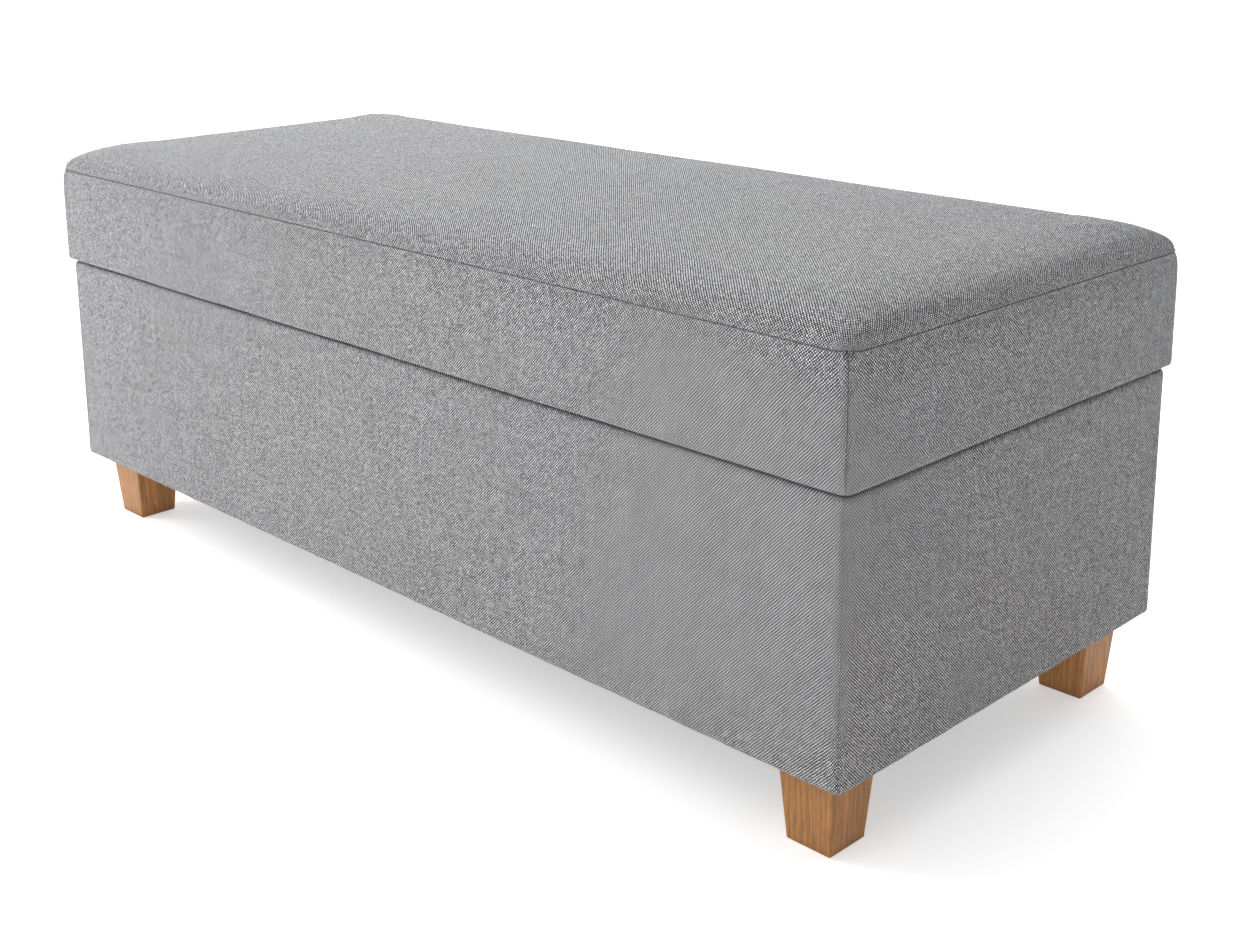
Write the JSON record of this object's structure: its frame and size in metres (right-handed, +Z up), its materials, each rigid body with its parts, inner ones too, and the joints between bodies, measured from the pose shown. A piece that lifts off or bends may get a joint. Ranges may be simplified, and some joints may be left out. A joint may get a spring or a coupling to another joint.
{
  "type": "storage bench",
  "caption": "Upholstered storage bench: padded box-edged seat lid hinged at the back on gas struts, fabric-covered box with a lined cavity, tapered oak legs.",
  "frame": {"origin": "on the floor, under the middle of the bench", "axes": "+Z up, X along the length, -Y the front long side, +Y the hinge side"},
  "size_m": [1.2, 0.5, 0.465],
  "materials": {
    "grey_weave": "matte",
    "oak": "satin",
    "board": "matte",
    "softwood": "matte",
    "wadding": "matte",
    "foam": "matte",
    "lining_cloth": "matte",
    "zinc_steel": "satin",
    "strut_paint": "satin",
    "strut_rod": "polished",
    "socket_plastic": "matte",
    "bumper_rubber": "matte"
  },
  "bodies": {
    "box": {"front_panel": "board", "back_panel": "board", "left_end_panel": "board", "right_end_panel": "board", "floor_panel": "board", "front_floor_rail": "softwood", "back_floor_rail": "softwood", "corner_blocks": "softwood", "leg_front_left": "oak", "leg_front_right": "oak", "leg_back_left": "oak", "leg_back_right": "oak", "box_cover_front": "grey_weave", "box_cover_back": "grey_weave", "box_cover_left": "grey_weave", "box_cover_right": "grey_weave", "box_wadding": "wadding", "cavity_lining_walls": "lining_cloth", "cavity_lining_floor": "lining_cloth", "dust_cover": "lining_cloth", "box_screws": "zinc_steel", "box_hardware_screws": "zinc_steel", "leg_hanger_bolts": "zinc_steel", "leg_tee_nuts": "zinc_steel", "hinge_pins": "zinc_steel", "dust_cover_staples": "zinc_steel", "left_hinge_box_leaf": "zinc_steel", "right_hinge_box_leaf": "zinc_steel", "strut_box_brackets": "zinc_steel", "rim_bumpers": "bumper_rubber"},
    "lid": {"lid_front_rail": "softwood", "lid_back_rail": "softwood", "lid_left_rail": "softwood", "lid_right_rail": "softwood", "lid_cross_rails": "softwood", "lid_strut_blocks": "softwood", "lid_deck_panel": "board", "lid_frame_screws": "zinc_steel", "seat_foam": "foam", "seat_wadding": "wadding", "lid_cover_top": "grey_weave", "lid_cover_front": "grey_weave", "lid_cover_back": "grey_weave", "lid_cover_left": "grey_weave", "lid_cover_right": "grey_weave", "lid_lining": "lining_cloth", "lid_lining_staples": "zinc_steel", "left_hinge_lid_leaf": "zinc_steel", "right_hinge_lid_leaf": "zinc_steel", "lid_hardware_screws": "zinc_steel", "strut_lid_brackets": "zinc_steel"},
    "left_strut_tube": {"left_strut_cylinder": "strut_paint", "left_strut_cylinder_socket": "socket_plastic"},
    "left_strut_piston": {"left_strut_rod": "strut_rod", "left_strut_rod_socket": "socket_plastic"},
    "right_strut_tube": {"right_strut_cylinder": "strut_paint", "right_strut_cylinder_socket": "socket_plastic"},
    "right_strut_piston": {"right_strut_rod": "strut_rod", "right_strut_rod_socket": "socket_plastic"}
  },
  "joints": [
    {"name": "lid_hinge", "type": "hinge", "parent": "box", "child": "lid", "pos_m": [0, 0.2478, 0.3249], "axis": [-1, 0, 0], "range_deg": [0, 85]},
    {"name": "left_strut_turn", "type": "hinge", "parent": "box", "child": "left_strut_tube", "pos_m": [-0.5565, 0.2028, 0.1549], "axis": [-1, 0, 0], "range_deg": [0, 17.6]},
    {"name": "left_strut_slide", "type": "slide", "parent": "left_strut_tube", "child": "left_strut_piston", "axis": [0, -0.2251, 0.9743], "range_m": [0, 0.0935]},
    {"name": "right_strut_turn", "type": "hinge", "parent": "box", "child": "right_strut_tube", "pos_m": [0.5565, 0.2028, 0.1549], "axis": [-1, 0, 0], "range_deg": [0, 17.6]},
    {"name": "right_strut_slide", "type": "slide", "parent": "right_strut_tube", "child": "right_strut_piston", "axis": [0, -0.2251, 0.9743], "range_m": [0, 0.0935]}
  ],
  "couplings": [
    {"joint": "left_strut_turn", "follows": "lid_hinge", "ratio": 0.20618},
    {"joint": "left_strut_slide", "follows": "lid_hinge", "m_per_rad": 0.062935},
    {"joint": "right_strut_turn", "follows": "lid_hinge", "ratio": 0.20618},
    {"joint": "right_strut_slide", "follows": "lid_hinge", "m_per_rad": 0.062935}
  ]
}
